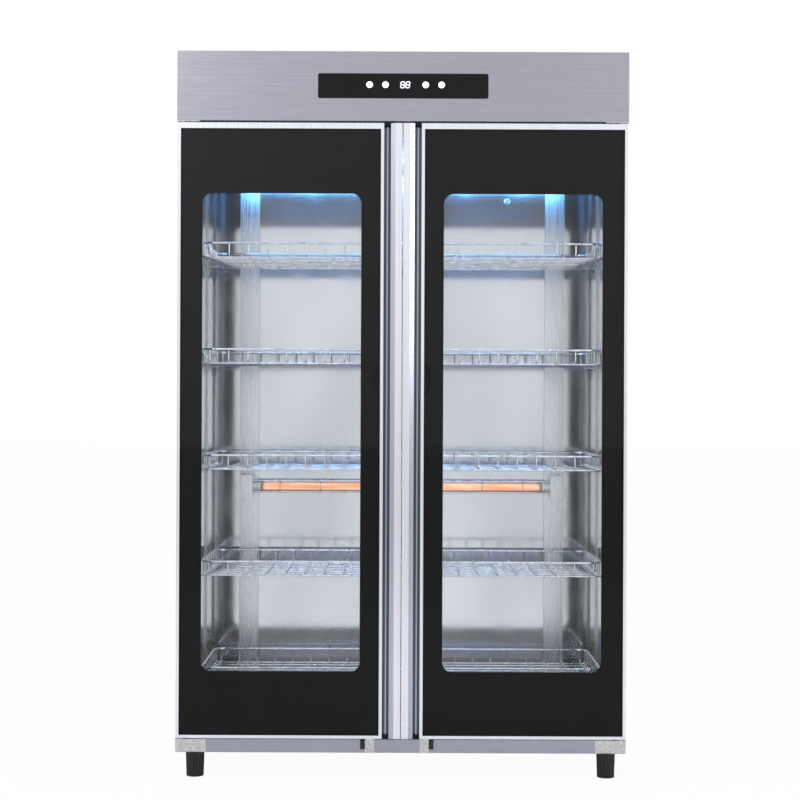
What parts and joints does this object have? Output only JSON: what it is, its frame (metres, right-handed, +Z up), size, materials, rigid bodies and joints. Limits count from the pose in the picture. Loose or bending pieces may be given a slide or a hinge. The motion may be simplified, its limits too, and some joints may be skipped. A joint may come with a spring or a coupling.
{
  "type": "dish sterilizer cabinet",
  "caption": "Tall free-standing dish sterilizer cabinet with hinged glass doors, lift-out wire shelves, quartz heaters, a touch-key header panel and levelling feet.",
  "frame": {"origin": "middle of the floor under the cabinet, where the feet stand", "axes": "+X to the right of someone facing the doors, doors face -Y, +Z up"},
  "size_m": [1.18, 0.48, 1.9],
  "materials": {
    "brushed_stainless": "satin",
    "galvanised_steel": "satin",
    "mirror_stainless": "polished",
    "satin_stainless": "satin",
    "plated_steel": "satin",
    "black_rubber": "matte",
    "mineral_wool": "matte",
    "quartz_glass": "gloss",
    "heater_glow": "satin",
    "white_ceramic": "satin",
    "chromed_wire": "polished",
    "lamp_glass": "gloss",
    "white_plastic": "satin",
    "black_acrylic": "gloss",
    "display_black": "gloss",
    "circuit_board": "satin",
    "black_plastic": "satin",
    "white_key": "satin",
    "anodised_aluminium": "satin",
    "clear_glass": "gloss",
    "black_print": "gloss",
    "grey_seal": "matte",
    "foot_plastic": "satin"
  },
  "bodies": {
    "cabinet": {"base_frame": "brushed_stainless", "side_panel_left": "brushed_stainless", "side_panel_right": "brushed_stainless", "top_cover": "brushed_stainless", "header_fascia": "brushed_stainless", "face_frame": "brushed_stainless", "base_pan": "galvanised_steel", "back_panel": "galvanised_steel", "power_module": "galvanised_steel", "liner": "mirror_stainless", "back_posts": "satin_stainless", "shelf_standards": "satin_stainless", "shelf_clips": "satin_stainless", "heater_holders": "satin_stainless", "hinge_brackets": "plated_steel", "door_catches": "plated_steel", "screws": "plated_steel", "temperature_probe": "plated_steel", "door_buffers": "black_rubber", "insulation": "mineral_wool", "heater_tubes": "quartz_glass", "heater_elements": "heater_glow", "heater_caps": "white_ceramic", "heater_guards": "chromed_wire", "ozone_lamp": "lamp_glass", "lamp_holders": "white_plastic", "control_fascia": "black_acrylic", "display_module": "display_black", "control_board": "circuit_board", "cable_gland": "black_plastic"},
    "door_left": {"door_left_frame": "anodised_aluminium", "door_left_handle": "anodised_aluminium", "door_left_glass": "clear_glass", "door_left_glass_print": "black_print", "door_left_inner_glass": "clear_glass", "door_left_gasket": "grey_seal", "door_left_finger_cup": "black_plastic", "door_left_handle_caps": "black_plastic"},
    "door_right": {"door_right_frame": "anodised_aluminium", "door_right_handle": "anodised_aluminium", "door_right_glass": "clear_glass", "door_right_glass_print": "black_print", "door_right_inner_glass": "clear_glass", "door_right_gasket": "grey_seal", "door_right_finger_cup": "black_plastic", "door_right_handle_caps": "black_plastic"},
    "shelf_1": {"shelf_1": "chromed_wire"},
    "shelf_2": {"shelf_2": "chromed_wire"},
    "shelf_3": {"shelf_3": "chromed_wire"},
    "shelf_4": {"shelf_4": "chromed_wire"},
    "shelf_5": {"shelf_5": "chromed_wire"},
    "key_1": {"key_1": "white_key"},
    "key_2": {"key_2": "white_key"},
    "key_3": {"key_3": "white_key"},
    "key_4": {"key_4": "white_key"},
    "foot_front_left": {"foot_front_left": "foot_plastic"},
    "foot_front_right": {"foot_front_right": "foot_plastic"},
    "foot_back_left": {"foot_back_left": "foot_plastic"},
    "foot_back_right": {"foot_back_right": "foot_plastic"}
  },
  "joints": [
    {"name": "door_left_hinge", "type": "hinge", "parent": "cabinet", "child": "door_left", "pos_m": [-0.576, -0.222, 0.9], "axis": [0, 0, -1], "range_deg": [0, 115]},
    {"name": "door_right_hinge", "type": "hinge", "parent": "cabinet", "child": "door_right", "pos_m": [0.576, -0.222, 0.9], "axis": [0, 0, 1], "range_deg": [0, 115]},
    {"name": "shelf_1_lift", "type": "slide", "parent": "cabinet", "child": "shelf_1", "axis": [0, 0, 1], "range_m": [0, 0.015]},
    {"name": "shelf_2_lift", "type": "slide", "parent": "cabinet", "child": "shelf_2", "axis": [0, 0, 1], "range_m": [0, 0.015]},
    {"name": "shelf_3_lift", "type": "slide", "parent": "cabinet", "child": "shelf_3", "axis": [0, 0, 1], "range_m": [0, 0.015]},
    {"name": "shelf_4_lift", "type": "slide", "parent": "cabinet", "child": "shelf_4", "axis": [0, 0, 1], "range_m": [0, 0.015]},
    {"name": "shelf_5_lift", "type": "slide", "parent": "cabinet", "child": "shelf_5", "axis": [0, 0, 1], "range_m": [0, 0.015]},
    {"name": "key_1_press", "type": "slide", "parent": "cabinet", "child": "key_1", "axis": [0, 1, 0], "range_m": [0, 0.001], "stiffness_N_per_m": 1200, "springref_m": -0.0006},
    {"name": "key_2_press", "type": "slide", "parent": "cabinet", "child": "key_2", "axis": [0, 1, 0], "range_m": [0, 0.001], "stiffness_N_per_m": 1200, "springref_m": -0.0006},
    {"name": "key_3_press", "type": "slide", "parent": "cabinet", "child": "key_3", "axis": [0, 1, 0], "range_m": [0, 0.001], "stiffness_N_per_m": 1200, "springref_m": -0.0006},
    {"name": "key_4_press", "type": "slide", "parent": "cabinet", "child": "key_4", "axis": [0, 1, 0], "range_m": [0, 0.001], "stiffness_N_per_m": 1200, "springref_m": -0.0006},
    {"name": "foot_front_left_screw", "type": "slide", "parent": "cabinet", "child": "foot_front_left", "axis": [0, 0, -1], "range_m": [0, 0.02]},
    {"name": "foot_front_right_screw", "type": "slide", "parent": "cabinet", "child": "foot_front_right", "axis": [0, 0, -1], "range_m": [0, 0.02]},
    {"name": "foot_back_left_screw", "type": "slide", "parent": "cabinet", "child": "foot_back_left", "axis": [0, 0, -1], "range_m": [0, 0.02]},
    {"name": "foot_back_right_screw", "type": "slide", "parent": "cabinet", "child": "foot_back_right", "axis": [0, 0, -1], "range_m": [0, 0.02]}
  ]
}
